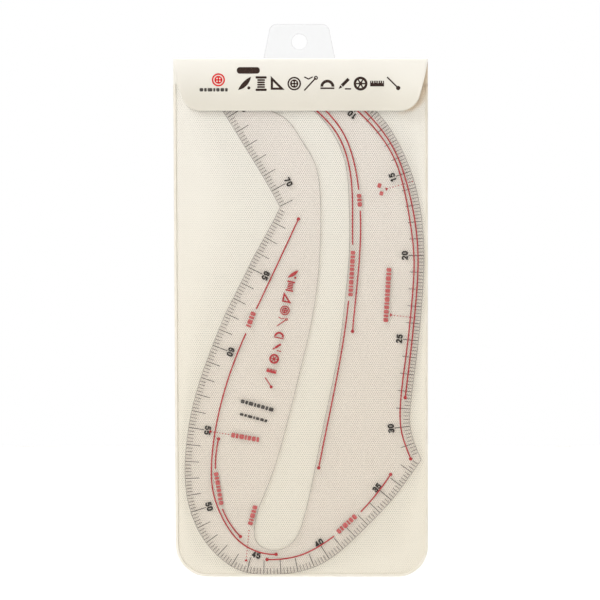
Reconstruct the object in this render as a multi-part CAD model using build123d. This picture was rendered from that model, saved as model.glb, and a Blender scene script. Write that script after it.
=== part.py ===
"""A drafting curve for pattern making, kept in its hanging storage pouch.

A flat clear plate with a long curved edge, graduated in centimetres all the way round, lies in a pocket
of two plastic sheets. The back sheet folds over at the top as a flap, and a clear tab behind the fold
hangs the pouch on a hook.

Millimetres. The origin is the centre of the tab's hanging hole, halfway through the tab. +X is right,
+Z is up and the printed face looks along -Y. Outlines are drawn as (x, z), and each layer is extruded
forwards from its rear face.
"""
from build123d import *
from math import atan2, cos, degrees, radians, sin
import os

# Stack of layers, as distances in front of the back sheet's front face.
BACK_SHEET = 0.4
FRONT_SHEET = 0.3
PLATE = 1.2
INK = 0.04
INK_STEP = 0.05
PLATE_REAR = 0.3
FRONT_SHEET_REAR = 2.0
FLAP_REAR = 2.6
FLAP_SHEET = BACK_SHEET
ADHESIVE = 0.2
TAB_SHEET = 0.3
BACK_FACE_Y = -(BACK_SHEET + ADHESIVE + TAB_SHEET / 2)

# Each printing pass lies a hundredth of a millimetre clear of the one under it.
INK_GAP = INK_STEP - INK
FINE_PASS = PLATE_REAR + PLATE + INK_GAP
COARSE_PASS = FINE_PASS + INK_STEP
NUMERAL_PASS = COARSE_PASS + INK_STEP
LINE_PASS = NUMERAL_PASS + INK_STEP
LABEL_PASS = LINE_PASS + INK_STEP
FLAP_PASS = FLAP_REAR + FLAP_SHEET + INK_GAP

# Pouch and flap.
FOLD_TOP = -9.7
FOLD_RADIUS = (BACK_SHEET + FLAP_REAR + FLAP_SHEET) / 2
HINGE_Y = BACK_FACE_Y + BACK_SHEET - FOLD_RADIUS
HINGE_Z = FOLD_TOP - FOLD_RADIUS
POUCH_BOTTOM = -311.8
POUCH_LEFT_TOP = -73.5
POUCH_LEFT_BOTTOM = -71.8
POUCH_RIGHT = 74.9
POUCH_CORNER_LEFT = 19.0
POUCH_CORNER_RIGHT = 17.5
SEAM_WIDTH = 0.8
FRONT_SHEET_TOP = -25.0
FLAP_BOTTOM = -40.4
FLAP_LEFT_BOTTOM = -65.6
FLAP_RIGHT_BOTTOM = 66.2
FLAP_CORNER = 8.0
FLAP_GAP = 0.3

# Hanging tab.
HOLE_RADIUS = 4.5
TAB_TOP = 10.2
TAB_TOP_HALF_WIDTH = 16.8
TAB_BASE_HALF_WIDTH = 20.8
TAB_BOTTOM = -26.0
TAB_TOP_CORNER = 4.0
TAB_BOTTOM_CORNER = 3.0
ADHESIVE_TOP = -13.0
ADHESIVE_MARGIN = 1.5

# Drafting curve: three smooth edges between its two tips and its inner corner.
TOP_TIP = (-56.2, -26.4)
SIDE_TIP = (71.2, -243.8)
INNER_CORNER = (-11.3, -96.6)
OUTER_EDGE = [
    TOP_TIP, (-43.9, -21.7), (-29.9, -17.9), (-15.9, -16.4), (-1.9, -17.0), (12.1, -19.7), (24.9, -24.9),
    (36.9, -33.1), (51.8, -48.9), (61.6, -66.8), (67.9, -84.6), (71.7, -105.5), (72.8, -125.5),
    (71.8, -148.7), (69.7, -172.9), (66.3, -200.0), (64.8, -213.0), (64.8, -225.0), (67.2, -234.0), SIDE_TIP,
]
LOWER_EDGE = [
    SIDE_TIP, (66.0, -251.1), (53.0, -268.3), (40.0, -281.9), (25.5, -295.7), (10.9, -305.4), (-4.0, -309.7),
    (-17.0, -310.6), (-28.0, -310.0), (-38.1, -306.6), (-46.0, -301.0), (-53.2, -293.7), (-58.8, -285.0),
    (-62.9, -275.5), (-65.5, -265.4), (-66.6, -255.5), (-66.7, -245.6), (-65.9, -235.1), (-62.9, -215.6),
    (-57.6, -196.3), (-50.9, -177.7), (-43.3, -159.0), (-34.6, -141.5), (-26.4, -124.9), (-17.7, -109.2),
    INNER_CORNER,
]
INNER_EDGE = [INNER_CORNER, (-14.8, -89.9), (-22.9, -75.9), (-34.6, -56.7), (-44.8, -40.4), TOP_TIP]
TOP_TIP_RADIUS = 1.5
SIDE_TIP_RADIUS = 1.0
INNER_CORNER_RADIUS = 1.0
SLOT = [
    (8.0, -40.1), (18.8, -52.3), (26.5, -70.1), (28.9, -93.4), (29.2, -118.5), (26.9, -147.6), (22.9, -179.7),
    (15.6, -215.9), (7.7, -255.5), (2.2, -278.8), (-2.5, -289.9), (-9.0, -295.3), (-14.2, -296.3),
    (-20.3, -295.2), (-25.0, -291.1), (-26.1, -284.8), (-18.8, -260.3), (-8.3, -227.6), (0.1, -193.8),
    (7.2, -163.4), (12.0, -125.5), (12.5, -93.5), (8.4, -69.2), (0.6, -56.2), (-8.3, -44.5), (-18.8, -38.3),
    (-21.3, -34.4), (-16.5, -31.4), (-5.4, -32.8),
]

# Graduations round the edge, counted from the top tip: five divisions to a centimetre.
TICK_INSET = 0.4
DIVISION = 2
FINE_TICK = 3.4
CENTIMETRE_TICK = 8.0
NUMBERED_TICK = 8.8
FINE_TICK_WIDTH = 0.3
CENTIMETRE_TICK_WIDTH = 0.36
NUMBERED_TICK_WIDTH = 0.42
TIP_CLEARANCE = 3.0
NUMERAL_DISTANCE = 11.3
NUMERAL_HEIGHT = 3.7
NUMERAL_STROKE = 0.92
NUMERAL_GAP = 0.25
NUMERAL_SHIFTS = {45: -2.8}

# Guide lines beside the edges, each a smooth run with a dot at the ends named.
LINE_WIDTH = 0.8
DOT_RADIUS = 1.0
GUIDE_LINES = [
    ([(-2.0, -29.6), (10.1, -40.3), (20.8, -51.9), (28.2, -69.0), (31.0, -93.5), (31.1, -118.4)], "start"),
    ([(28.7, -151.1), (24.4, -181.9), (17.9, -215.7), (11.3, -248.4)], "end"),
    ([(4.5, -29.0), (15.5, -40.3), (24.4, -51.3), (31.0, -67.0), (34.6, -86.4)], "start"),
    ([(35.5, -98.5), (35.7, -111.3), (34.3, -135.1), (31.0, -168.9)], "end"),
    ([(20.5, -30.0), (33.4, -40.0), (45.9, -53.1), (56.0, -69.7), (61.1, -86.4), (64.9, -107.2),
      (66.8, -125.5), (65.8, -149.4), (62.8, -178.3), (59.2, -207.5), (58.7, -217.0), (59.5, -227.1),
      (61.9, -235.4), (64.9, -243.2)], "both"),
    ([(28.0, -31.0), (37.6, -40.0), (48.2, -51.9), (57.1, -66.8), (62.8, -83.4), (67.8, -107.7),
      (69.2, -127.9), (67.9, -151.7), (65.8, -173.0), (61.7, -207.5)], "both"),
    ([(-0.5, -103.4), (-12.0, -128.2), (-25.0, -155.7)], "start"),
    ([(-31.1, -170.0), (-38.0, -186.7), (-44.3, -206.0), (-48.7, -225.2), (-51.0, -243.6), (-50.3, -261.9),
      (-44.3, -278.5), (-33.8, -292.1), (-24.0, -297.3), (-13.5, -298.8)], "end"),
    ([(-47.1, -231.5), (-48.7, -242.6), (-48.9, -248.9)], "start"),
    ([(-44.8, -272.3), (-40.0, -281.5), (-34.3, -288.4)], "end"),
    ([(-18.8, -301.8), (-11.0, -301.6), (0.0, -299.5), (12.5, -293.5), (20.3, -288.1)], "start"),
    ([(35.7, -274.1), (44.5, -264.2), (53.2, -252.2)], "end"),
]

# Plain blocks that stand where words would be: start, end, height.
RED_LABELS = [
    ((31.3, -122.0), (29.8, -148.4), 2.6),
    ((34.8, -88.9), (35.3, -96.2), 2.6),
    ((-26.6, -157.6), (-30.5, -168.2), 3.0),
    ((-48.6, -251.0), (-45.4, -270.0), 2.6),
    ((22.3, -286.0), (33.6, -275.6), 3.0),
    ((52.3, -132.0), (50.3, -163.4), 2.8),
    ((45.6, -83.6), (49.2, -84.6), 2.6),
    ((46.8, -88.2), (50.2, -89.2), 2.4),
    ((-39.6, -229.2), (-22.6, -232.2), 2.8),
    ((-25.6, -270.4), (-28.9, -282.2), 2.8),
]
BLACK_LABELS = [((-34.0, -209.4), (-13.0, -215.3), 2.2), ((-34.6, -217.0), (-17.7, -221.4), 1.6)]
BLOCK_LENGTHS = [2.2, 1.5, 2.8, 1.2, 2.0]
BLOCK_GAP = 0.5
POINTERS = [
    ((50.8, -85.9), (67.0, -81.2)),
    ((53.4, -159.3), (68.6, -161.2)),
    ((-51.8, -227.2), (-40.6, -229.0)),
    ((-31.0, -302.3), (-29.2, -284.0)),
]
POINTER_DOT = 0.35
POINTER_PITCH = 1.7
ARROW = 1.1

# Picture symbols on the flap and down the plate's left lobe.
FLAP_SYMBOL = 9.0
FLAP_SYMBOL_PITCH = 9.65
FLAP_SYMBOLS_START = (-31.9, -24.6)
PLATE_SYMBOL = 6.4
PLATE_SYMBOLS_START = (-3.7, -135.5)
PLATE_SYMBOLS_END = (-17.8, -199.0)
CAPSULE = (-29.7, -16.9, 13.4, 3.8)
BADGE = (-47.1, -22.4)
BADGE_RADIUS = 3.9
FLAP_LABEL = ((-58.1, -28.2), (-39.6, -28.2), 2.0)

# Centre lines of the numerals, on a cell 2.8 wide and 5 high.
NUMERAL_CELL = (2.8, 5.0)
NUMERAL_STROKES = {
    "0": [[(0, 1.2), (0, 3.8), (0.7, 5), (2.1, 5), (2.8, 3.8), (2.8, 1.2), (2.1, 0), (0.7, 0), (0, 1.2)]],
    "1": [[(0.4, 4.0), (1.6, 5), (1.6, 0)]],
    "2": [[(0, 4.1), (0.7, 5), (2.1, 5), (2.8, 4.1), (2.8, 3.2), (0, 0), (2.8, 0)]],
    "3": [[(0, 4.3), (0.7, 5), (2.1, 5), (2.8, 4.3), (2.8, 3.2), (2.0, 2.6), (1.1, 2.6)],
          [(2.0, 2.6), (2.8, 2.0), (2.8, 0.8), (2.1, 0), (0.7, 0), (0, 0.8)]],
    "4": [[(2.2, 0), (2.2, 5), (0, 1.5), (3.0, 1.5)]],
    "5": [[(2.7, 5), (0.4, 5), (0.1, 2.7), (0.8, 3.1), (2.0, 3.1), (2.8, 2.3), (2.8, 0.9), (2.0, 0),
           (0.7, 0), (0, 0.7)]],
    "6": [[(2.6, 4.4), (2.0, 5), (0.8, 5), (0, 3.8), (0, 1.0), (0.7, 0), (2.1, 0), (2.8, 0.9), (2.8, 2.1),
           (2.1, 3.0), (0.8, 3.0), (0, 2.2)]],
    "7": [[(0, 5), (2.8, 5), (1.0, 0)]],
}


# Shared helpers.

def layer(outline, rear, thickness):
    """Extrude an (x, z) outline forwards from `rear` millimetres in front of the back sheet's face."""
    return extrude(Plane.XZ.offset(rear - BACK_FACE_Y) * outline, thickness)


def layers(outlines, rear, thickness):
    """One group of separate solids, an extrusion for each face of the outlines."""
    faces = [face for outline in outlines for face in outline.faces()]
    return Compound(children=[layer(face, rear, thickness).solid() for face in faces])


def heading(direction):
    """The angle of a direction in degrees, anticlockwise from +X."""
    return degrees(atan2(direction.Y, direction.X))


def capsule(start, end, width):
    """A straight stroke with round ends."""
    start, end = Vector(start), Vector(end)
    along = end - start
    place = Pos(*(start + end) * 0.5) * Rot(0, 0, heading(along))
    return place * SlotCenterToCenter(along.length, width)


def strokes(runs, width):
    """Straight strokes joined end to end, with round ends and corners."""
    parts = [capsule(a, b, width) for run in runs for a, b in zip(run, run[1:])]
    return parts[0].fuse(*parts[1:]) if len(parts) > 1 else parts[0]


def ribbon(points, width):
    """A smooth stroke of even width through the points."""
    line = Spline(*points)
    steps = [i / (3 * len(points)) for i in range(3 * len(points) + 1)]
    sides = []
    for side in (1, -1):
        offsets = [line @ t + (line % t).rotate(Axis.Z, 90) * (side * width / 2) for t in steps]
        sides.append(Spline(*offsets))
    ends = [Line(sides[0] @ t, sides[1] @ t) for t in (0, 1)]
    return make_face(sides + ends)


def blocks(start, end, height):
    """A row of rounded blocks of mixed lengths that fills the run from start to end."""
    start, end = Vector(start), Vector(end)
    along = end - start
    frame = Pos(*start) * Rot(0, 0, heading(along))
    row, place, index = [], 0.0, 0
    while along.length - place > BLOCK_GAP + min(BLOCK_LENGTHS):
        length = min(BLOCK_LENGTHS[index % len(BLOCK_LENGTHS)], along.length - place)
        corner = 0.3 * min(length, height)
        row.append(frame * Pos(place + length / 2, 0) * RectangleRounded(length, height, corner))
        place += length + BLOCK_GAP
        index += 1
    return row


# Pouch.

def pouch_outline(top):
    """The pouch's sides and round bottom corners, up to `top`."""
    run = (top - POUCH_BOTTOM) / (FOLD_TOP - POUCH_BOTTOM)
    left_top = POUCH_LEFT_BOTTOM + (POUCH_LEFT_TOP - POUCH_LEFT_BOTTOM) * run
    corners = [(left_top, top), (POUCH_RIGHT, top), (POUCH_RIGHT, POUCH_BOTTOM), (POUCH_LEFT_BOTTOM, POUCH_BOTTOM)]
    face = make_face(Polyline(*corners, close=True))
    bottom = face.vertices().group_by(Axis.Y)[0].sort_by(Axis.X)
    face = fillet(bottom[0], POUCH_CORNER_LEFT)
    bottom_right = face.vertices().filter_by_position(Axis.X, POUCH_RIGHT - 0.1, POUCH_RIGHT + 0.1)
    return fillet(bottom_right.sort_by(Axis.Y)[0], POUCH_CORNER_RIGHT)


def pouch_back():
    return layer(pouch_outline(HINGE_Z), -BACK_SHEET, BACK_SHEET)


def pouch_front():
    return layer(pouch_outline(FRONT_SHEET_TOP), FRONT_SHEET_REAR, FRONT_SHEET)


def weld_seam():
    """The welded rim that joins the two sheets along the sides and the bottom."""
    rim = pouch_outline(FRONT_SHEET_TOP)
    pocket = offset(pouch_outline(FRONT_SHEET_TOP + 2 * SEAM_WIDTH), -SEAM_WIDTH)
    return layer(rim - pocket, 0, FRONT_SHEET_REAR)


def tab_outline():
    half = [(TAB_TOP_HALF_WIDTH, TAB_TOP), (TAB_BASE_HALF_WIDTH, FOLD_TOP), (TAB_BASE_HALF_WIDTH, TAB_BOTTOM)]
    mirrored = [(-x, z) for x, z in reversed(half)]
    face = make_face(Polyline(*half, *mirrored, close=True))
    levels = face.vertices().group_by(Axis.Y)
    face = fillet(levels[-1], TAB_TOP_CORNER)
    levels = face.vertices().group_by(Axis.Y)
    return fillet(levels[0], TAB_BOTTOM_CORNER)


def hang_tab():
    return layer(tab_outline() - Circle(HOLE_RADIUS), -BACK_SHEET - ADHESIVE - TAB_SHEET, TAB_SHEET)


def tab_adhesive():
    height = ADHESIVE_TOP - TAB_BOTTOM - ADHESIVE_MARGIN
    width = 2 * (TAB_BASE_HALF_WIDTH - ADHESIVE_MARGIN)
    patch = Pos(0, ADHESIVE_TOP - height / 2) * Rectangle(width, height)
    return layer(patch, -BACK_SHEET - ADHESIVE, ADHESIVE)


# Flap.

def flap_panel():
    """The hanging front part of the flap, below the fold."""
    top = HINGE_Z - FLAP_GAP
    corners = [(POUCH_LEFT_TOP, top), (POUCH_RIGHT, top)]
    corners += [(FLAP_RIGHT_BOTTOM, FLAP_BOTTOM), (FLAP_LEFT_BOTTOM, FLAP_BOTTOM)]
    face = make_face(Polyline(*corners, close=True))
    face = fillet(face.vertices().group_by(Axis.Y)[0], FLAP_CORNER)
    return layer(face, FLAP_REAR, FLAP_SHEET)


def flap_fold():
    """The half-round bend that carries the back sheet over to the flap."""
    ring = Circle(FOLD_RADIUS) - Circle(FOLD_RADIUS - BACK_SHEET)
    half = ring & (Pos(0, FOLD_RADIUS) * Rectangle(4 * FOLD_RADIUS, 2 * FOLD_RADIUS))
    across = Plane(origin=(POUCH_LEFT_TOP, HINGE_Y, HINGE_Z), x_dir=(0, 1, 0), z_dir=(1, 0, 0))
    return extrude(across * half, POUCH_RIGHT - POUCH_LEFT_TOP)


# Picture symbols, each drawn in a unit square about the origin.

def set_square():
    outer = make_face(Polyline((-0.45, -0.4), (0.45, -0.4), (-0.45, 0.5), close=True))
    inner = make_face(Polyline((-0.3, -0.26), (0.1, -0.26), (-0.3, 0.14), close=True))
    return outer - inner


def button(holes=4):
    face = Circle(0.44) - Circle(0.34)
    face += Circle(0.27)
    for index in range(holes):
        turn = radians(45 + 360 / holes * index)
        face -= Pos(0.13 * cos(turn), 0.13 * sin(turn)) * Circle(0.055)
    return face


def needle():
    shaft = strokes([[(-0.4, -0.42), (0.3, 0.34)]], 0.09)
    eye = Pos(0.33, 0.37) * (Circle(0.13) - Circle(0.06))
    thread = strokes([[(0.1, 0.42), (-0.15, 0.3), (-0.4, 0.42)]], 0.08)
    return [shaft + eye, thread]


def spool():
    ends = [Pos(0, side * 0.4) * RectangleRounded(0.72, 0.15, 0.06) for side in (1, -1)]
    turns = [Pos(0, z) * RectangleRounded(0.5, 0.11, 0.05) for z in (-0.22, -0.07, 0.08, 0.23)]
    return ends + turns


def swept_curve():
    arc = ThreePointArc((-0.42, -0.42), (0.16, -0.1), (0.42, 0.45))
    inner = ThreePointArc((0.42, 0.45), (-0.06, 0.12), (-0.42, -0.42))
    return [make_face([arc, inner]), Pos(0.28, -0.28) * Circle(0.1)]


def pencil():
    body = Rot(0, 0, 45) * (Pos(0.12, 0) * Rectangle(0.62, 0.2))
    tip = Rot(0, 0, 45) * make_face(Polyline((-0.24, 0.1), (-0.24, -0.1), (-0.5, 0), close=True))
    return [body, tip, Pos(0.26, -0.34) * Rectangle(0.4, 0.09)]


def ruler():
    body = Rectangle(0.9, 0.36)
    for index in range(6):
        body -= Pos(-0.36 + 0.144 * index, 0.11) * Rectangle(0.05, 0.16 if index % 2 else 0.1)
    return body


def protractor():
    upper = Pos(0, 0.25) * Rectangle(1, 0.5)
    dome = (Circle(0.45) - Circle(0.27)) & upper
    return [Pos(0, -0.2) * dome, Pos(0, -0.3) * Rectangle(0.9, 0.1)]


def bobbin():
    spokes = [Rot(0, 0, 60 * index) * (Pos(0.2, 0) * Rectangle(0.2, 0.09)) for index in range(6)]
    face = (Circle(0.45) - Circle(0.29)) + Circle(0.12)
    for spoke in spokes:
        face += spoke
    return face


def pin():
    shaft = strokes([[(-0.4, 0.4), (0.2, -0.2)]], 0.09)
    return [shaft, Pos(0.29, -0.29) * Circle(0.14)]


SYMBOLS = [swept_curve, spool, set_square, button, needle, protractor, pencil, bobbin, ruler, pin]


def place_symbol(symbol, centre, size, turn=0):
    shapes = symbol()
    shapes = shapes if isinstance(shapes, list) else [shapes]
    return [Pos(*centre) * Rot(0, 0, turn) * scale(shape, size, about=(0, 0, 0)) for shape in shapes]


def flap_symbols():
    start = Vector(FLAP_SYMBOLS_START)
    placed = []
    for index, symbol in enumerate(SYMBOLS):
        placed += place_symbol(symbol, start + Vector(index * FLAP_SYMBOL_PITCH, 0), FLAP_SYMBOL)
    return layers(placed, FLAP_PASS, INK)


def flap_capsule():
    x, z, length, height = CAPSULE
    return layer(Pos(x, z) * RectangleRounded(length, height, 0.45 * height), FLAP_PASS, INK)


def flap_badge():
    placed = place_symbol(button, BADGE, BADGE_RADIUS / 0.45)
    return layers(placed, FLAP_PASS, INK)


def flap_label():
    return layers(blocks(*FLAP_LABEL), FLAP_PASS, INK)


# Drafting curve.

def edge_splines():
    return [Spline(*points) for points in (OUTER_EDGE, LOWER_EDGE, INNER_EDGE)]


def plate_outline():
    face = make_face(edge_splines())
    corners = [(TOP_TIP, TOP_TIP_RADIUS), (SIDE_TIP, SIDE_TIP_RADIUS), (INNER_CORNER, INNER_CORNER_RADIUS)]
    for place, radius in corners:
        corner = face.vertices().sort_by_distance(Vector(*place))[0]
        face = fillet(corner, radius)
    return face - make_face(Spline(*SLOT, periodic=True))


def curve_plate():
    return layer(plate_outline(), PLATE_REAR, PLATE)


def scale_place(edges, distance):
    """The point at a distance round the edge from the top tip, its direction, and its way inwards."""
    for edge in edges:
        if distance <= edge.length:
            share = distance / edge.length
            point = edge.position_at(share, position_mode=PositionMode.PARAMETER)
            along = edge.tangent_at(share, position_mode=PositionMode.PARAMETER)
            return point, along, along.rotate(Axis.Z, -90)
        distance -= edge.length
    raise ValueError("past the end of the edge")


def clear_of_tips(edges, distance):
    perimeter = sum(edge.length for edge in edges)
    tips = (0, edges[0].length, perimeter)
    return min(abs(distance - tip) for tip in tips) > TIP_CLEARANCE


def ticks(edges, marks, length, width):
    """Short strokes from the edge inwards at the marks given in millimetres along it."""
    strips = []
    for mark in marks:
        point, along, inward = scale_place(edges, mark)
        centre = point + inward * (TICK_INSET + length / 2)
        strips.append(Pos(*centre) * Rot(0, 0, heading(inward)) * Rectangle(length, width))
    return strips


def numeral(text):
    """A number with its middle at the origin, built from round-ended strokes."""
    unit = (NUMERAL_HEIGHT - NUMERAL_STROKE) / NUMERAL_CELL[1]
    cell = NUMERAL_CELL[0] * unit
    step = cell + NUMERAL_STROKE + NUMERAL_GAP
    faces = []
    for index, digit in enumerate(text):
        left = (index - (len(text) - 1) / 2) * step - cell / 2
        runs = [[(left + x * unit, (y - NUMERAL_CELL[1] / 2) * unit) for x, y in run]
                for run in NUMERAL_STROKES[digit]]
        faces.append(strokes(runs, NUMERAL_STROKE))
    return faces


def scale_numerals(edges, last):
    """A number every five centimetres, its foot towards the edge, one of them moved clear of a pointer."""
    placed = []
    for centimetre in range(5, last + 1, 5):
        point, along, inward = scale_place(edges, 10 * centimetre)
        centre = point + inward * NUMERAL_DISTANCE + along * NUMERAL_SHIFTS.get(centimetre, 0)
        place = Pos(*centre) * Rot(0, 0, heading(inward) - 90)
        placed += [place * face for face in numeral(str(centimetre))]
    return layers(placed, NUMERAL_PASS, INK)


def guide_line(points, dots):
    line = ribbon(points, LINE_WIDTH)
    if dots in ("start", "both"):
        line += Pos(*points[0]) * Circle(DOT_RADIUS)
    if dots in ("end", "both"):
        line += Pos(*points[-1]) * Circle(DOT_RADIUS)
    return line


def pointer(start, end):
    """A dotted leader with a small arrow head at its start."""
    start, end = Vector(start), Vector(end)
    along = end - start
    frame = Pos(*start) * Rot(0, 0, heading(along))
    arrow = frame * make_face(Polyline((ARROW, 0), (-ARROW / 2, ARROW), (-ARROW / 2, -ARROW), close=True))
    dots = []
    place = 2 * ARROW
    while place < along.length - POINTER_DOT:
        dots.append(frame * Pos(place, 0) * Circle(POINTER_DOT))
        place += POINTER_PITCH
    return [arrow] + dots


def plate_symbols():
    start, end = Vector(PLATE_SYMBOLS_START), Vector(PLATE_SYMBOLS_END)
    step = (end - start) / (len(SYMBOLS) - 1)
    turn = heading(step) + 90
    placed = []
    for index, symbol in enumerate(SYMBOLS):
        placed += place_symbol(symbol, start + step * index, PLATE_SYMBOL, turn)
    return layers(placed, LABEL_PASS, INK)


def curve_prints():
    edges = edge_splines()
    length = int(sum(edge.length for edge in edges))
    marks = [mark for mark in range(DIVISION, length, DIVISION) if clear_of_tips(edges, mark)]
    numbered = [mark for mark in marks if mark % 50 == 0]
    centimetres = [mark for mark in marks if mark % 10 == 0 and mark % 50]
    divisions = [mark for mark in marks if mark % 10]
    fine = ticks(edges, divisions, FINE_TICK, FINE_TICK_WIDTH)
    coarse = ticks(edges, centimetres, CENTIMETRE_TICK, CENTIMETRE_TICK_WIDTH)
    coarse += ticks(edges, numbered, NUMBERED_TICK, NUMBERED_TICK_WIDTH)
    lines = [guide_line(points, dots) for points, dots in GUIDE_LINES]
    labels = [face for label in RED_LABELS for face in blocks(*label)]
    bars = [face for label in BLACK_LABELS for face in blocks(*label)]
    leaders = [face for ends in POINTERS for face in pointer(*ends)]
    return {
        "division_ticks": layers(fine, FINE_PASS, INK),
        "centimetre_ticks": layers(coarse, COARSE_PASS, INK),
        "scale_numerals": scale_numerals(edges, length // 10),
        "guide_lines": layers(lines, LINE_PASS, INK),
        "guide_labels": layers(labels, LABEL_PASS, INK),
        "pointers": layers(leaders, LABEL_PASS, INK),
        "maker_bars": layers(bars, LABEL_PASS, INK),
        "plate_symbols": plate_symbols(),
    }


def main():
    os.makedirs("parts", exist_ok=True)
    nodes = {
        "pouch_back": pouch_back(),
        "pouch_front": pouch_front(),
        "weld_seam": weld_seam(),
        "hang_tab": hang_tab(),
        "tab_adhesive": tab_adhesive(),
        "flap_panel": flap_panel(),
        "flap_fold": flap_fold(),
        "flap_symbols": flap_symbols(),
        "flap_capsule": flap_capsule(),
        "flap_badge": flap_badge(),
        "flap_label": flap_label(),
        "curve_plate": curve_plate(),
    }
    nodes.update(curve_prints())
    for name, shape in nodes.items():
        export_step(shape, f"parts/{name}.step")


main()
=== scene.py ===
"""Looks of a drafting curve in its hanging pouch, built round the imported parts.

Metres, in the parts' own frame: the origin is the hanging hole, +X is right, +Z is up and the printed
face looks along -Y. "Height" over the back sheet means distance forwards, towards -Y.
"""
from math import cos, hypot, pi, radians, sin, sqrt

import bmesh
import bpy
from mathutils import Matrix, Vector, noise
from mathutils.bvhtree import BVHTree


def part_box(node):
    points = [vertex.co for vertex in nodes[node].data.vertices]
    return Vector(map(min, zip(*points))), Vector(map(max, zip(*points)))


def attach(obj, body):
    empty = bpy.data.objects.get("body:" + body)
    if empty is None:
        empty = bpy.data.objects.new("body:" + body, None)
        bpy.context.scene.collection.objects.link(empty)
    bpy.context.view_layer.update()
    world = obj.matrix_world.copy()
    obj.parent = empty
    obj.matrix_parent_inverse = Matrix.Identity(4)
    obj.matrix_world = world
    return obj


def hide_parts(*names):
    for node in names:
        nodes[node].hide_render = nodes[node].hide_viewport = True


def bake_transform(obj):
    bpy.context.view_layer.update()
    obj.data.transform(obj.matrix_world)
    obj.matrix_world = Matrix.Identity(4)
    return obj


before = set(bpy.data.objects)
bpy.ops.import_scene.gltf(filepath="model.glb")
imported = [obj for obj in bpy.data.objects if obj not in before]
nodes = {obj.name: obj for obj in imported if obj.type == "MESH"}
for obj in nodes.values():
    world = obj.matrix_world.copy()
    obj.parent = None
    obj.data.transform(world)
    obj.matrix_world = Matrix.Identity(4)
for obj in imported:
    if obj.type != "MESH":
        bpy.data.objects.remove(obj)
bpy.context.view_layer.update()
MM = 0.001

# Places taken from the frame.
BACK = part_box("pouch_back")
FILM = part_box("pouch_front")
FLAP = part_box("flap_panel")
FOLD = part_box("flap_fold")
BACK_FACE = BACK[0].y
SHEET = BACK[1].y - BACK[0].y
FLAP_MIDDLE = (FLAP[0].y + FLAP[1].y) / 2
BOTTOM = BACK[0].z
LEFT_TOP = FOLD[0].x
RIGHT = FOLD[1].x
FOLD_CREST = Vector((0, -1.9 * MM, FOLD[1].z - SHEET / 2))

# Pouch outline.
LEFT_LEAN = 1.7 * MM
LEFT_CORNER = 19.0 * MM
RIGHT_CORNER = 17.5 * MM


# Camera, light and stage.

VIEW_CENTRE = Vector((0.41, 0, -150.6)) * MM
VIEW_WIDTH = 349.9 * MM
VIEW_DISTANCE = 2.5
GLOW_SPREAD = 0.9
LEFT_GLOW = (0.40, 0.38, 0.355, 1)
RIGHT_GLOW = (0.26, 0.215, 0.155, 1)
FLOOR_RADIUS = 4.0
FLOOR_DROP = 60 * MM


def make_camera():
    data = bpy.data.cameras.new("camera")
    data.lens = data.sensor_width * VIEW_DISTANCE / VIEW_WIDTH
    camera = bpy.data.objects.new("camera", data)
    camera.location = VIEW_CENTRE - Vector((0, VIEW_DISTANCE, 0))
    camera.rotation_euler = (radians(90), 0, 0)
    bpy.context.scene.collection.objects.link(camera)
    bpy.context.scene.camera = camera


def make_world():
    """A white surround that the camera sees, and a dimmer one that lights mostly from the upper left."""
    world = bpy.data.worlds.new("surround")
    world.use_nodes = True
    bpy.context.scene.world = world
    tree = world.node_tree
    tree.nodes.clear()
    seen = tree.nodes.new("ShaderNodeBackground")
    seen.inputs["Color"].default_value = (1, 1, 1, 1)
    way = tree.nodes.new("ShaderNodeTexCoord")
    split = tree.nodes.new("ShaderNodeSeparateXYZ")
    tree.links.new(way.outputs["Generated"], split.inputs[0])
    away = tree.nodes.new("ShaderNodeMath")
    away.operation = "SUBTRACT"
    tree.links.new(split.outputs["X"], away.inputs[0])
    tree.links.new(split.outputs["Z"], away.inputs[1])
    side = tree.nodes.new("ShaderNodeMapRange")
    side.inputs["From Min"].default_value = -GLOW_SPREAD
    side.inputs["From Max"].default_value = GLOW_SPREAD
    tree.links.new(away.outputs[0], side.inputs["Value"])
    tone = tree.nodes.new("ShaderNodeMix")
    tone.data_type = "RGBA"
    tone.inputs[6].default_value = LEFT_GLOW
    tone.inputs[7].default_value = RIGHT_GLOW
    tree.links.new(side.outputs[0], tone.inputs[0])
    lit = tree.nodes.new("ShaderNodeBackground")
    tree.links.new(tone.outputs[2], lit.inputs["Color"])
    path = tree.nodes.new("ShaderNodeLightPath")
    mix = tree.nodes.new("ShaderNodeMixShader")
    out = tree.nodes.new("ShaderNodeOutputWorld")
    tree.links.new(path.outputs["Is Camera Ray"], mix.inputs["Fac"])
    tree.links.new(lit.outputs[0], mix.inputs[1])
    tree.links.new(seen.outputs[0], mix.inputs[2])
    tree.links.new(mix.outputs[0], out.inputs["Surface"])


def add_light(name, kind, place, strength, color):
    """A light at a place relative to the middle of the view, turned towards it."""
    data = bpy.data.lights.new(name, kind)
    data.energy = strength
    data.color = color
    light = bpy.data.objects.new(name, data)
    light.location = VIEW_CENTRE + Vector(place)
    light.rotation_euler = Vector(place).to_track_quat("Z", "Y").to_euler()
    light.visible_camera = False
    bpy.context.scene.collection.objects.link(light)
    return data


def make_lights():
    """A softbox at the upper left, a broad light from overhead, and fills from in front and behind."""
    softbox = add_light("softbox", "AREA", place=(-1.05, -1.1, 1.5), strength=13.0, color=(0.93, 0.97, 1.0))
    softbox.size = 0.8
    front = add_light("front", "SUN", place=(-0.25, -1, 0.3), strength=0.7, color=(1.0, 0.98, 0.95))
    front.angle = radians(30)
    overhead = add_light("overhead", "SUN", place=(0, 0.05, 1), strength=2.1, color=(1, 1, 1))
    overhead.angle = radians(25)
    behind = add_light("behind", "SUN", place=(0.5, 0.8, 0.4), strength=0.7, color=(1, 1, 1))
    behind.angle = radians(40)


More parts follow.
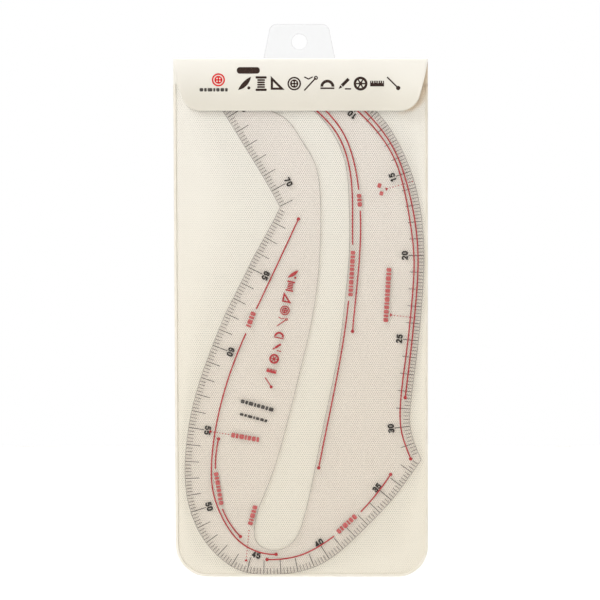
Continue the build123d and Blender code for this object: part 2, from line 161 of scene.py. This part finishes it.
def make_stage():
    """A wide pale floor a little below the hanging pouch."""
    mesh = bpy.data.meshes.new("floor")
    bm = bmesh.new()
    bmesh.ops.create_circle(bm, cap_ends=True, segments=96, radius=FLOOR_RADIUS)
    bm.to_mesh(mesh)
    bm.free()
    floor = bpy.data.objects.new("floor", mesh)
    floor.location = (0, 0, BOTTOM - FLOOR_DROP)
    bpy.context.scene.collection.objects.link(floor)
    floor.data.materials.append(plain_floor())


# Materials.

class Shader:
    """A material's node tree, with short ways to add and join its nodes."""

    def __init__(self, name):
        self.material = bpy.data.materials.new(name)
        self.material.use_nodes = True
        self.tree = self.material.node_tree
        self.surface = self.tree.nodes["Principled BSDF"]

    def set(self, **values):
        for key, value in values.items():
            self.surface.inputs[key.replace("_", " ")].default_value = value
        return self

    def node(self, kind, inputs=None, **settings):
        node = self.tree.nodes.new(kind)
        for key, value in settings.items():
            setattr(node, key, value)
        for key, value in (inputs or {}).items():
            self.feed(node, key, value)
        return node

    def feed(self, node, key, value):
        if isinstance(value, bpy.types.NodeSocket):
            self.tree.links.new(value, node.inputs[key])
        else:
            node.inputs[key].default_value = value

    def math(self, operation, *values):
        return self.node("ShaderNodeMath", dict(enumerate(values)), operation=operation).outputs[0]

    def place(self):
        """The point's coordinates in metres, the same at every pose."""
        return self.node("ShaderNodeTexCoord").outputs["Object"]

    def noise(self, size, detail=3.0, place=None):
        inputs = {"Vector": place or self.place(), "Scale": 1 / size, "Detail": detail}
        return self.node("ShaderNodeTexNoise", inputs).outputs["Fac"]

    def between(self, factor, low, high, first, last):
        """A number that goes from first to last while factor goes from low to high."""
        inputs = {"Value": factor, "From Min": low, "From Max": high, "To Min": first, "To Max": last}
        return self.node("ShaderNodeMapRange", inputs).outputs["Result"]

    def tint(self, factor, stops):
        """A colour ramp, its stops given as (place, (r, g, b))."""
        ramp = self.node("ShaderNodeValToRGB", {"Fac": factor})
        while len(ramp.color_ramp.elements) < len(stops):
            ramp.color_ramp.elements.new(0.5)
        for element, (place, color) in zip(ramp.color_ramp.elements, stops):
            element.position = place
            element.color = (*color, 1)
        return ramp.outputs["Color"]

    def mix(self, factor, first, last):
        inputs = {0: factor, 6: first, 7: last}
        return self.node("ShaderNodeMix", inputs, data_type="RGBA").outputs[2]

    def bump(self, height, depth, strength=1.0, under=None):
        inputs = {"Height": height, "Distance": depth, "Strength": strength}
        if under is not None:
            inputs["Normal"] = under
        return self.node("ShaderNodeBump", inputs).outputs["Normal"]

    def to_surface(self, **sockets):
        for key, socket in sockets.items():
            self.tree.links.new(socket, self.surface.inputs[key.replace("_", " ")])
        return self.material


def plain_floor():
    shader = Shader("floor_paper")
    shader.set(Base_Color=(0.92, 0.92, 0.92, 1), Roughness=0.9)
    return shader.material


LATTICE_PITCH = 1.235 * MM


def lattice(shader):
    """Embossed dots in a triangular grid: 1 on a dot's top and 0 in the hollows."""
    split = shader.node("ShaderNodeSeparateXYZ", {0: shader.place()})
    turns = 4 * pi / (sqrt(3) * LATTICE_PITCH)
    along = shader.math("MULTIPLY", split.outputs["X"], turns * sqrt(3) / 2)
    half_up = shader.math("MULTIPLY", split.outputs["Z"], turns / 2)
    waves = shader.math("COSINE", shader.math("MULTIPLY", half_up, 2.0))
    for side in ("ADD", "SUBTRACT"):
        wave = shader.math("COSINE", shader.math(side, along, half_up))
        waves = shader.math("ADD", waves, wave)
    return shader.between(waves, -1.5, 3.0, 0.0, 1.0)


# Painted shade: a warm tan that stands in for the shadow beside the flap's lifted right corner.
SHADE_TAN = (0.74, 0.53, 0.30, 1)
# A darker, warmer tone that the pouch's inside takes towards the bottom.
LOW_TINT = (0.80, 0.755, 0.65, 1)
CREAM = [(0.3, (0.835, 0.81, 0.745)), (0.52, (0.85, 0.825, 0.76)), (0.75, (0.83, 0.81, 0.745))]
# Painted shade: the outer side is a little darker than the inside, which tones down the flap.
OUTER_CREAM = [(0.3, (0.80, 0.78, 0.725)), (0.52, (0.81, 0.79, 0.735)), (0.75, (0.795, 0.775, 0.725))]
# Painted shade: the flap's face darkens to this tone towards its lower edge, in place of the shading of its
# curve.
FLAP_SHADE_TONE = (0.69, 0.66, 0.58, 1)


def marked(shader, name, color, other):
    """The colour given, turning into the other as far as the piece's attribute of that name says."""
    share = shader.node("ShaderNodeAttribute", attribute_name=name).outputs["Fac"]
    return shader.mix(share, color, other)


def vinyl(name, tones, inside):
    """Ivory pouch sheet: close cream tones in broad patches, with a fine grain."""
    shader = Shader(name)
    patches = shader.noise(55 * MM, 2.0)
    cream = shader.tint(patches, tones)
    if inside:
        # Inside: painted shade in a tan strip beside the flap's right edge, and a tone darker and warmer
        # towards the bottom.
        cream = marked(shader, "painted_shade", marked(shader, "lower_tint", cream, LOW_TINT), SHADE_TAN)
    else:
        # Outside: painted shade, darker down the flap towards its lower edge.
        cream = marked(shader, "flap_painted_shade", cream, FLAP_SHADE_TONE)
    grain = shader.noise(0.8 * MM, 4.0)
    speckled = shader.mix(shader.between(grain, 0.35, 0.65, 0, 0.05), cream, (0.76, 0.72, 0.62, 1))
    rough = shader.between(patches, 0.3, 0.7, 0.36, 0.48)
    relief = shader.bump(grain, 0.02 * MM, 0.5)
    return shader.to_surface(Base_Color=speckled, Roughness=rough, Normal=relief)


# The film's dots show more as it stands further off the back sheet, where the plate stretches it.
SLACK_FILM = 0.7 * MM
STRETCHED_FILM = 1.8 * MM
SLACK_SHARE = 0.3
DOT_COVER = 0.28
HOLLOW_COVER = 0.012


def embossed_film():
    """Thin clear film whose embossed dots turn light aside."""
    shader = Shader("embossed_film")
    shader.set(Roughness=0.3)
    dots = lattice(shader)
    tone = shader.tint(shader.noise(30 * MM, 2.0), [(0.35, (0.14, 0.125, 0.105)), (0.7, (0.18, 0.16, 0.14))])
    depth = shader.node("ShaderNodeSeparateXYZ", {0: shader.place()}).outputs["Y"]
    shown = shader.between(depth, BACK_FACE - SLACK_FILM, BACK_FACE - STRETCHED_FILM, SLACK_SHARE, 1.0)
    cover = shader.between(dots, 0.46, 0.6, HOLLOW_COVER, shader.math("MULTIPLY", shown, DOT_COVER))
    relief = shader.bump(dots, 0.08 * MM, 1.0)
    return shader.to_surface(Base_Color=tone, Alpha=cover, Normal=relief)


def clear_film():
    """The film's smooth inner side."""
    shader = Shader("clear_film")
    shader.set(Base_Color=(0.9, 0.88, 0.84, 1), Alpha=0.012)
    haze = shader.noise(30 * MM, 2.0)
    return shader.to_surface(Roughness=shader.between(haze, 0.3, 0.7, 0.2, 0.35))


def welded_vinyl():
    shader = Shader("welded_vinyl")
    shader.set(Roughness=0.3)
    patches = shader.noise(12 * MM, 2.0)
    cream = shader.tint(patches, [(0.35, (0.77, 0.73, 0.63)), (0.7, (0.82, 0.78, 0.70))])
    relief = shader.bump(shader.noise(1.5 * MM, 2.0), 0.05 * MM, 0.4)
    # The rim takes the same painted tan shade beside the flap's right edge.
    return shader.to_surface(Base_Color=marked(shader, "painted_shade", cream, SHADE_TAN), Normal=relief)


def clear_plate():
    """Clear sheet of a faint pinkish grey, with the odd fine scratch in its polish."""
    shader = Shader("clear_plate")
    shader.set(Base_Color=(1.0, 0.64, 0.64, 1), Alpha=0.036, IOR=1.49)
    marks = shader.noise(6 * MM, 5.0)
    rough = shader.between(marks, 0.3, 0.8, 0.08, 0.22)
    return shader.to_surface(Roughness=rough)


def plate_edge():
    shader = Shader("plate_edge")
    shader.set(Alpha=0.45, IOR=1.49)
    wear = shader.noise(4 * MM, 3.0)
    tone = shader.tint(wear, [(0.35, (0.20, 0.17, 0.13)), (0.7, (0.30, 0.26, 0.21))])
    return shader.to_surface(Base_Color=tone, Roughness=shader.between(wear, 0.3, 0.7, 0.2, 0.4))


def clear_tab():
    shader = Shader("clear_tab")
    shader.set(Base_Color=(0.62, 0.64, 0.66, 1), Alpha=0.10)
    haze = shader.noise(14 * MM, 2.0)
    return shader.to_surface(Roughness=shader.between(haze, 0.3, 0.7, 0.1, 0.25))


def tab_edge():
    shader = Shader("tab_edge")
    shader.set(Alpha=0.85)
    haze = shader.noise(5 * MM, 2.0)
    tone = shader.tint(haze, [(0.3, (0.42, 0.43, 0.44)), (0.7, (0.6, 0.61, 0.62))])
    return shader.to_surface(Base_Color=tone)


def adhesive():
    shader = Shader("adhesive")
    shader.set(Roughness=0.35)
    cells = shader.noise(1.6 * MM, 4.0)
    tone = shader.tint(cells, [(0.35, (0.78, 0.76, 0.71)), (0.65, (0.87, 0.86, 0.83))])
    return shader.to_surface(Base_Color=tone, Normal=shader.bump(cells, 0.02 * MM, 0.3))


def ink(name, color, worn, alpha=1.0):
    """Screen-printed ink that lies a little thinner in small flecks."""
    shader = Shader(name)
    shader.set(Alpha=alpha, Specular_IOR_Level=0.2)
    flecks = shader.noise(0.9 * MM, 4.0)
    tone = shader.tint(flecks, [(0.42, color), (0.72, worn)])
    rough = shader.between(flecks, 0.3, 0.7, 0.4, 0.6)
    return shader.to_surface(Base_Color=tone, Roughness=rough, Normal=shader.bump(flecks, 0.01 * MM, 0.5))


# Shape helpers.

def new_piece(name, bm, *materials):
    bmesh.ops.recalc_face_normals(bm, faces=bm.faces)
    mesh = bpy.data.meshes.new(name)
    bm.to_mesh(mesh)
    bm.free()
    for polygon in mesh.polygons:
        polygon.use_smooth = True
    piece = bpy.data.objects.new(name, mesh)
    bpy.context.scene.collection.objects.link(piece)
    for material in materials:
        mesh.materials.append(material)
    return piece


def grid_piece(name, rows, *materials):
    """A surface through rows of points, every row with the same number of points."""
    bm = bmesh.new()
    lines = [[bm.verts.new(point) for point in row] for row in rows]
    for low, high in zip(lines, lines[1:]):
        for a, b, c, d in zip(low, low[1:], high[1:], high):
            bm.faces.new((a, b, c, d))
    return new_piece(name, bm, *materials)


def thicken(piece, thickness, rounding):
    """Gives a surface its thickness, with softly rounded edges."""
    solid = piece.modifiers.new("thickness", "SOLIDIFY")
    solid.thickness = thickness
    solid.offset = 0
    bevel = piece.modifiers.new("edges", "BEVEL")
    bevel.width = rounding
    bevel.segments = 2
    bevel.limit_method = "ANGLE"
    bevel.angle_limit = radians(60)


def smooth(value):
    value = min(1.0, max(0.0, value))
    return value * value * (3 - 2 * value)


def mark(piece, name, measure):
    """Stores a measure of each point at rest, which then stays with the surface at every pose."""
    layer = piece.data.attributes.new(name, "FLOAT", "POINT")
    for vertex, value in zip(piece.data.vertices, layer.data):
        value.value = measure(*vertex.co)


def ripple(x, z, size, seed):
    """A gentle unevenness from -1 to 1."""
    return noise.noise(Vector((x / size, z / size, seed)))


# Pouch.

def corner_cut(height, radius):
    """How far a round bottom corner pulls the side in, at a height over the bottom."""
    if height >= radius:
        return 0.0
    return radius - sqrt(radius ** 2 - (radius - height) ** 2)


def pouch_sides(z):
    share = (z - BOTTOM) / (FOLD[1].z - BOTTOM)
    left = LEFT_TOP + LEFT_LEAN * (1 - share) + corner_cut(z - BOTTOM, LEFT_CORNER)
    right = RIGHT - corner_cut(z - BOTTOM, RIGHT_CORNER)
    return left, right


LEVEL_STEP = 2.0 * MM
CORNER_LEVELS = 14


def pouch_levels(top):
    """Heights from the bottom up, close together round the corners."""
    quarter = pi / 2 / CORNER_LEVELS
    low = [BOTTOM + LEFT_CORNER * (1 - cos(quarter * i)) for i in range(CORNER_LEVELS)]
    start = BOTTOM + LEFT_CORNER
    count = round((top - start) / LEVEL_STEP)
    return low + [start + (top - start) * i / count for i in range(count + 1)]


def across(left, right, count):
    return [left + (right - left) * i / count for i in range(count + 1)]


# The back sheet's slight bow dies away towards the tab, the sides and the bottom.
BACK_BOW = 0.05 * MM
BOW_START = 32 * MM
BOW_GROWTH = 30 * MM
BOW_MARGIN = 12 * MM
BOW_UNEVENNESS = 0.15


def back_height(x, z):
    """The back sheet's middle surface, bowed a hair backwards below the tab."""
    below_tab = smooth((FOLD[0].z - BOW_START - z) / BOW_GROWTH)
    beside = smooth((RIGHT - abs(x)) / BOW_MARGIN)
    over_bottom = smooth((z - BOTTOM) / BOW_MARGIN)
    uneven = 1 - BOW_UNEVENNESS + BOW_UNEVENNESS * ripple(x, z, size=70 * MM, seed=3.0)
    return BACK_FACE + SHEET / 2 + BACK_BOW * below_tab * beside * over_bottom * uneven


# The flap settles below the crest of the fold, and its two lower corners lift off the pouch.
FLAP_SETTLED = FOLD[1].z - 10 * MM
FLAP_SWELL = 0.04 * MM
SWELL_SKEW = 0.8
SWELL_UNEVENNESS = 0.25
LIFT_GROWTH = 1.1
RIGHT_LIFT = 5.5 * MM
RIGHT_LIFT_START = 42 * MM
RIGHT_LIFT_WIDTH = 36 * MM
RIGHT_LIFT_CURL = 1.4
LEFT_LIFT = 0.9 * MM
LEFT_LIFT_START = 50 * MM
LEFT_LIFT_WIDTH = 26 * MM


def flap_height(x, z):
    """The flap's middle surface: it bends over below the fold's crest, then hangs with lifted corners."""
    drop = min(1.0, (FOLD_CREST.z - z) / (FOLD_CREST.z - FLAP_SETTLED))
    bend = sqrt(1 - (1 - drop) ** 2)
    y = FOLD_CREST.y + (FLAP_MIDDLE - FOLD_CREST.y) * bend
    share = (FOLD_CREST.z - z) / (FOLD_CREST.z - FLAP[0].z)
    uneven = 1 + SWELL_UNEVENNESS * ripple(x, z, size=45 * MM, seed=8.0)
    y -= FLAP_SWELL * sin(pi * min(1.0, share) ** SWELL_SKEW) * uneven
    low = smooth(share * LIFT_GROWTH)
    y -= RIGHT_LIFT * low * smooth((x - RIGHT_LIFT_START) / RIGHT_LIFT_WIDTH) ** RIGHT_LIFT_CURL
    y -= LEFT_LIFT * low * smooth((-x - LEFT_LIFT_START) / LEFT_LIFT_WIDTH)
    return y


FLAP_CORNER = 8 * MM
FLAP_SLANT = 7.6 * MM
SLANT_BOW = 1.35


def flap_sides(z):
    """The flap's slanting sides, a little bowed, with round bottom corners."""
    drop = (FOLD[1].z - z) / (FOLD[1].z - FLAP[0].z)
    inset = FLAP_SLANT * drop ** SLANT_BOW
    left = LEFT_TOP + inset + corner_cut(z - FLAP[0].z, FLAP_CORNER)
    right = RIGHT - inset - corner_cut(z - FLAP[0].z, FLAP_CORNER)
    return left, right


# Tints of the sheet, painted shade among them. Points behind this plane, and so behind the flap, belong to
# the pouch's inside.
INSIDE_Y = FLAP[1].y + 0.35 * MM
SHADE_TAN_SHARE = 0.55
TAN_UNDER_FLAP = 2.5 * MM
TAN_BEYOND_FLAP = 5.5 * MM
TAN_BELOW_FLAP = 2 * MM
TAN_INNER_FADE = 2 * MM
TAN_OUTER_FADE = 4 * MM
TAN_LOWER_FADE = 3 * MM
TAN_UPPER_FADE = 2 * MM
LOW_TINT_RUN = 240 * MM


def painted_flap_shade(x, y, z):
    """The strength of a painted shade: a tan strip beside the flap's right edge, where the lifted corner's
    shadow falls.
    """
    if y <= INSIDE_Y:
        return 0.0
    edge = flap_sides(max(z, FLAP[0].z))[1]
    inner = smooth((x - edge + TAN_UNDER_FLAP) / TAN_INNER_FADE)
    outer = smooth((edge + TAN_BEYOND_FLAP - x) / TAN_OUTER_FADE)
    lower = smooth((z - FLAP[0].z + TAN_BELOW_FLAP) / TAN_LOWER_FADE)
    upper = smooth((FOLD[0].z - z) / TAN_UPPER_FADE)
    return SHADE_TAN_SHARE * (inner * outer) * (lower * upper)


def low_tint_share(x, y, z):
    """How far the pouch's inside is tinted darker and warmer, most of all low down."""
    return smooth((FOLD[0].z - z) / LOW_TINT_RUN) if y > INSIDE_Y else 0.0


def painted_flap_gradient(x, y, z):
    """How much painted shade the flap's face takes, most of all along its lower edge."""
    if y > FOLD_CREST.y:
        return 0.0
    return smooth((FOLD_CREST.z - z) / (FOLD_CREST.z - FLAP[0].z))


SHEET_COLUMNS = 84
FOLD_TURNS = 7
CREST_LEVELS = 9
CREST_DROP = 5 * MM
FLAP_LEVELS = 12


def fold_rows():
    """Rows of points in a quarter turn, from the back sheet up to the crest of the fold."""
    rise = FOLD_CREST.z - FOLD[0].z
    rows = []
    for turn in range(1, FOLD_TURNS):
        angle = radians(90 * turn / FOLD_TURNS)
        z = FOLD[0].z + rise * sin(angle)
        row = []
        for x in across(LEFT_TOP, RIGHT, SHEET_COLUMNS):
            start = back_height(x, FOLD[0].z)
            row.append((x, FOLD_CREST.y + (start - FOLD_CREST.y) * cos(angle), z))
        rows.append(row)
    rows.append([(x, FOLD_CREST.y, FOLD_CREST.z) for x in across(LEFT_TOP, RIGHT, SHEET_COLUMNS)])
    return rows


def flap_levels():
    """Heights down the flap, close together by the crest and round the bottom corners."""
    levels = [FOLD_CREST.z - CREST_DROP * (i / CREST_LEVELS) ** 2 for i in range(1, CREST_LEVELS + 1)]
    corner = FLAP[0].z + FLAP_CORNER
    start = levels[-1]
    steps = range(1, FLAP_LEVELS + 1)
    levels += [start + (corner - start) * i / FLAP_LEVELS for i in steps]
    levels += [FLAP[0].z + FLAP_CORNER * (1 - sin(pi / 2 * i / FLAP_LEVELS)) for i in steps]
    return levels


def pouch_sheet(inner, outer):
    """The back sheet, its fold and the flap as the one sheet they are."""
    rows = []
    for z in pouch_levels(FOLD[0].z):
        rows.append([(x, back_height(x, z), z) for x in across(*pouch_sides(z), SHEET_COLUMNS)])
    rows += fold_rows()
    for z in flap_levels():
        rows.append([(x, flap_height(x, z), z) for x in across(*flap_sides(z), SHEET_COLUMNS)])
    sheet = grid_piece("pouch_sheet", rows, inner, outer)
    # Painted shade in a tan strip beside the flap's right edge.
    mark(sheet, "painted_shade", painted_flap_shade)
    # A tone darker and warmer towards the bottom.
    mark(sheet, "lower_tint", low_tint_share)
    # Painted shade down the flap.
    mark(sheet, "flap_painted_shade", painted_flap_gradient)
    thicken(sheet, SHEET, 0.12 * MM)
    sheet.modifiers["thickness"].material_offset = 1
    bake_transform(sheet)
    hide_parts("pouch_back", "flap_fold", "flap_panel")


# The film leaves its welded rim, rises to full height over the plate, and waves a little in between.
RIM = 1.5 * MM
FILM_THICKNESS = 0.25 * MM
FILM_OVER_PLATE = BACK_FACE - FILM[1].y
FILM_INSET = 0.15 * MM
FILM_COLUMNS = 120
FILM_START = 0.02 * MM
FILM_CLING = 0.6 * MM
FILM_RISE_SHARE = 0.9
FILM_SAG = 1.3
SHORTEST_RISE = 0.5 * MM
WAVE_HEIGHT = 0.10 * MM
WAVE_GROWTH = 8 * MM
WAVE_SIZE = 28 * MM


def outline_distance(x, z):
    """How far inside the pouch's outline a point is."""
    left, right = pouch_sides(z)
    near = min(x - left, right - x, z - BOTTOM)
    left_centre = LEFT_TOP + LEFT_LEAN + LEFT_CORNER
    right_centre = RIGHT - RIGHT_CORNER
    for outside, radius in ((left_centre - x, LEFT_CORNER), (x - right_centre, RIGHT_CORNER)):
        below = BOTTOM + radius - z
        if outside > 0 and below > 0:
            near = min(near, radius - hypot(outside, below))
    return max(0.0, near)


def film_height(x, z, gap):
    """How high the film stands over the back sheet, at a point that is a gap away from the plate."""
    reach = max(0.0, outline_distance(x, z) - RIM)
    rise = reach / max(SHORTEST_RISE, FILM_RISE_SHARE * (reach + gap))
    height = FILM_START + FILM_OVER_PLATE * min(1.0, rise) ** FILM_SAG
    return height + WAVE_HEIGHT * smooth(reach / WAVE_GROWTH) * ripple(x, z, size=WAVE_SIZE, seed=5.0)


def pouch_film(outer, inner):
    """The front film, welded down round its rim and stretched over the plate."""
    plate = nodes["curve_plate"].data
    tree = BVHTree.FromPolygons([v.co for v in plate.vertices], [p.vertices for p in plate.polygons])
    middle = (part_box("curve_plate")[0].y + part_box("curve_plate")[1].y) / 2
    rows = []
    for z in pouch_levels(FILM[1].z):
        left, right = pouch_sides(z)
        row = []
        for x in across(left + FILM_INSET, right - FILM_INSET, FILM_COLUMNS):
            gap = max(0.0, tree.find_nearest(Vector((x, middle, z)))[3] - FILM_CLING)
            row.append((x, BACK_FACE - film_height(x, z, gap) - FILM_THICKNESS / 2, z))
        rows.append(row)
    film = grid_piece("pouch_film", rows, outer, inner)
    thicken(film, FILM_THICKNESS, 0.05 * MM)
    film.modifiers["thickness"].material_offset = 1
    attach(film, "pouch")
    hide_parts("pouch_front")


RIM_STEP = 4 * MM
RIM_TURNS = 16
BOTTOM_STEPS = 24

# The rim's cross-section in millimetres: how far inward, and how high over the back sheet's face.
RIM_PROFILE = [
    (1.50, -0.41), (1.30, -0.48), (0.25, -0.47), (-0.03, -0.38), (-0.06, 0.05), (0.0, 0.34), (0.12, 0.40),
    (0.55, 0.42), (0.85, 0.44), (0.98, 0.60), (1.15, 0.72), (1.32, 0.68), (1.46, 0.52), (1.52, 0.34),
]


def quarter_turn(x, z, radius, start):
    """Points round a corner from a start angle on, with their inward directions."""
    points = []
    for i in range(RIM_TURNS + 1):
        angle = start + pi / 2 * i / RIM_TURNS
        points.append((x + radius * cos(angle), z + radius * sin(angle), -cos(angle), -sin(angle)))
    return points


def rim_path():
    """Points down the left side, round the bottom and up the right side, with their inward directions."""
    top = FILM[1].z
    low_left = BOTTOM + LEFT_CORNER
    low_right = BOTTOM + RIGHT_CORNER
    left_centre = pouch_sides(low_left)[0] + LEFT_CORNER
    right_centre = RIGHT - RIGHT_CORNER
    count = round((top - low_left) / RIM_STEP)
    path = []
    for i in range(count):
        z = top + (low_left - top) * i / count
        path.append((pouch_sides(z)[0], z, 1.0, 0.0))
    path += quarter_turn(left_centre, low_left, LEFT_CORNER, pi)
    for i in range(1, BOTTOM_STEPS):
        path.append((left_centre + (right_centre - left_centre) * i / BOTTOM_STEPS, BOTTOM, 0.0, 1.0))
    path += quarter_turn(right_centre, low_right, RIGHT_CORNER, 3 * pi / 2)
    for i in range(1, count + 1):
        path.append((RIGHT, low_right + (top - low_right) * i / count, -1.0, 0.0))
    return path


def weld_rim(material):
    """The pressed band that joins film and sheet, with a raised bead along its inner side."""
    bm = bmesh.new()
    rings = []
    for x, z, inward_x, inward_z in rim_path():
        ring = []
        for inward, height in RIM_PROFILE:
            place = (x + inward_x * inward * MM, BACK_FACE - height * MM, z + inward_z * inward * MM)
            ring.append(bm.verts.new(place))
        rings.append(ring)
    for first, last in zip(rings, rings[1:]):
        for i in range(len(RIM_PROFILE)):
            j = (i + 1) % len(RIM_PROFILE)
            bm.faces.new((first[i], first[j], last[j], last[i]))
    bm.faces.new(rings[0])
    bm.faces.new(rings[-1])
    rim = new_piece("weld_rim", bm, material)
    # Painted tan shade beside the flap's right edge, as on the sheet.
    mark(rim, "painted_shade", painted_flap_shade)
    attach(rim, "pouch")
    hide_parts("weld_seam")


# Flat plates with rounded edges, made from the outlines of their CAD nodes.

TAB_CLEARANCE = 0.015 * MM
SAME_POINT = 0.002 * MM
SAME_PLANE = 0.02 * MM
EDGE_STEPS = 4


def front_rim(bm, front):
    """Each point on the rim of a flat solid's front face, with the points next to it on the rim."""
    rim = {}
    for edge in bm.edges:
        flat = [face for face in edge.link_faces if abs(face.normal.y) > 0.9]
        sides = [face for face in flat if face.calc_center_median().y < front + SAME_PLANE]
        if len(sides) == 1:
            a, b = edge.verts
            rim.setdefault(a.index, []).append(b.index)
            rim.setdefault(b.index, []).append(a.index)
    return rim


def outline_loops(node):
    """The closed outlines of a flat node's front face, as lists of (x, z)."""
    bm = bmesh.new()
    bm.from_mesh(nodes[node].data)
    bmesh.ops.remove_doubles(bm, verts=bm.verts, dist=SAME_POINT)
    rim = front_rim(bm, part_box(node)[0].y)
    bm.verts.ensure_lookup_table()
    loops = []
    left = set(rim)
    while left:
        loop = [min(left)]
        left.discard(loop[0])
        while True:
            following = [i for i in rim[loop[-1]] if i in left]
            if not following:
                break
            loop.append(following[0])
            left.discard(following[0])
        loops.append([(bm.verts[i].co.x, bm.verts[i].co.z) for i in loop])
    bm.free()
    return loops


def signed_area(loop):
    return sum(a[0] * b[1] - b[0] * a[1] for a, b in zip(loop, loop[1:] + loop[:1])) / 2


def inward_ways(loop):
    """Unit directions into the material at each point of a loop that has it on its left."""
    ways = []
    for before, point, after in zip(loop[-1:] + loop[:-1], loop, loop[1:] + loop[:1]):
        a = Vector((point[0] - before[0], point[1] - before[1])).normalized()
        b = Vector((after[0] - point[0], after[1] - point[1])).normalized()
        way = Vector((-a.y - b.y, a.x + b.x))
        ways.append(way.normalized() if way.length > 1e-6 else Vector((-a.y, a.x)))
    return ways


def edge_profile(rounding, front, rear):
    """A rounded edge from the front face to the rear face, as (inset, y)."""
    turns = [pi / 2 * i / EDGE_STEPS for i in range(EDGE_STEPS + 1)]
    profile = [(rounding * (1 - sin(t)), front + rounding * (1 - cos(t))) for t in turns]
    return profile + [(rounding * (1 - cos(t)), rear - rounding * (1 - sin(t))) for t in turns]


def wrap_edge(bm, loop, profile):
    """Builds the rounded wall along an outline, and gives its frontmost and rearmost rings of points."""
    ways = inward_ways(loop)
    rings = []
    for inset, y in profile:
        ring = [bm.verts.new((p[0] + w.x * inset, y, p[1] + w.y * inset)) for p, w in zip(loop, ways)]
        rings.append(ring)
    for first, last in zip(rings, rings[1:]):
        for i in range(len(loop)):
            j = (i + 1) % len(loop)
            face = bm.faces.new((first[i], first[j], last[j], last[i]))
            face.material_index = 1
    return rings[0], rings[-1]


def rounded_plate(name, node, rounding, face_material, edge_material, clearance=0.0):
    """The node's flat plate with rounded edges of their own material.

    Its front face is set back by the clearance.
    """
    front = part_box(node)[0].y + clearance
    profile = edge_profile(rounding, front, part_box(node)[1].y)
    loops = outline_loops(node)
    outer = max(range(len(loops)), key=lambda i: abs(signed_area(loops[i])))
    bm = bmesh.new()
    rims = ([], [])
    for index, loop in enumerate(loops):
        if (signed_area(loop) > 0) != (index == outer):
            loop = loop[::-1]
        for ring, edges in zip(wrap_edge(bm, loop, profile), rims):
            edges += [bm.edges.get(pair) for pair in zip(ring, ring[1:] + ring[:1])]
    for edges in rims:
        bmesh.ops.triangle_fill(bm, edges=edges, use_beauty=True)
    piece = new_piece(name, bm, face_material, edge_material)
    for polygon in piece.data.polygons:
        polygon.use_smooth = polygon.material_index == 1
    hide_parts(node)
    return piece


# Prints.

PRINT_STEP = 1.5 * MM
PRINT_LIFT = 0.02 * MM
PRINT_CUTS = 4


def flap_print(node, material):
    """A print of the flap, laid on the flap's soft shape."""
    piece = nodes[node].copy()
    piece.data = nodes[node].data.copy()
    piece.name = node + "_laid"
    piece.parent = None
    for key in list(piece.keys()):
        del piece[key]
    bpy.context.scene.collection.objects.link(piece)
    bm = bmesh.new()
    bm.from_mesh(piece.data)
    for _ in range(PRINT_CUTS):
        long = [edge for edge in bm.edges if edge.calc_length() > PRINT_STEP]
        bmesh.ops.subdivide_edges(bm, edges=long, cuts=1)
        bmesh.ops.triangulate(bm, faces=bm.faces)
    for vertex in bm.verts:
        vertex.co.y += flap_height(vertex.co.x, vertex.co.z) - FLAP_MIDDLE - PRINT_LIFT
    bm.to_mesh(piece.data)
    bm.free()
    piece.data.materials.clear()
    piece.data.materials.append(material)
    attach(piece, "flap")
    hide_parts(node)


def dress(node, material):
    data = nodes[node].data
    data.materials.clear()
    data.materials.append(material)


def build():
    pouch_sheet(vinyl("inner_vinyl", CREAM, True), vinyl("outer_vinyl", OUTER_CREAM, False))
    weld_rim(welded_vinyl())
    pouch_film(embossed_film(), clear_film())
    tab = rounded_plate("tab", "hang_tab", 0.12 * MM, clear_tab(), tab_edge(), TAB_CLEARANCE)
    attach(tab, "pouch")
    plate = rounded_plate("plate", "curve_plate", 0.22 * MM, clear_plate(), plate_edge())
    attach(plate, "curve")
    dress("tab_adhesive", adhesive())

    black = ink("black_ink", (0.018, 0.015, 0.013), (0.05, 0.045, 0.04))
    grey = ink("grey_ink", (0.05, 0.045, 0.04), (0.10, 0.09, 0.08))
    brown = ink("brown_ink", (0.022, 0.009, 0.006), (0.05, 0.025, 0.018))
    red = ink("red_ink", (0.42, 0.02, 0.028), (0.55, 0.06, 0.065))
    bright_red = ink("bright_red_ink", (0.62, 0.006, 0.01), (0.70, 0.03, 0.03))
    faint_red = ink("faint_red_ink", (0.52, 0.09, 0.09), (0.62, 0.17, 0.16))
    faint = ink("faint_ink", (0.10, 0.085, 0.065), (0.15, 0.13, 0.10), 0.4)
    dress("division_ticks", faint)
    for node in ("centimetre_ticks", "scale_numerals"):
        dress(node, black)
    for node in ("guide_lines", "pointers", "plate_symbols"):
        dress(node, red)
    dress("guide_labels", faint_red)
    dress("maker_bars", grey)
    flap_print("flap_symbols", brown)
    flap_print("flap_capsule", brown)
    flap_print("flap_badge", bright_red)
    flap_print("flap_label", grey)


bpy.context.scene.view_settings.view_transform = "Standard"
make_camera()
make_world()
make_lights()
make_stage()
build()
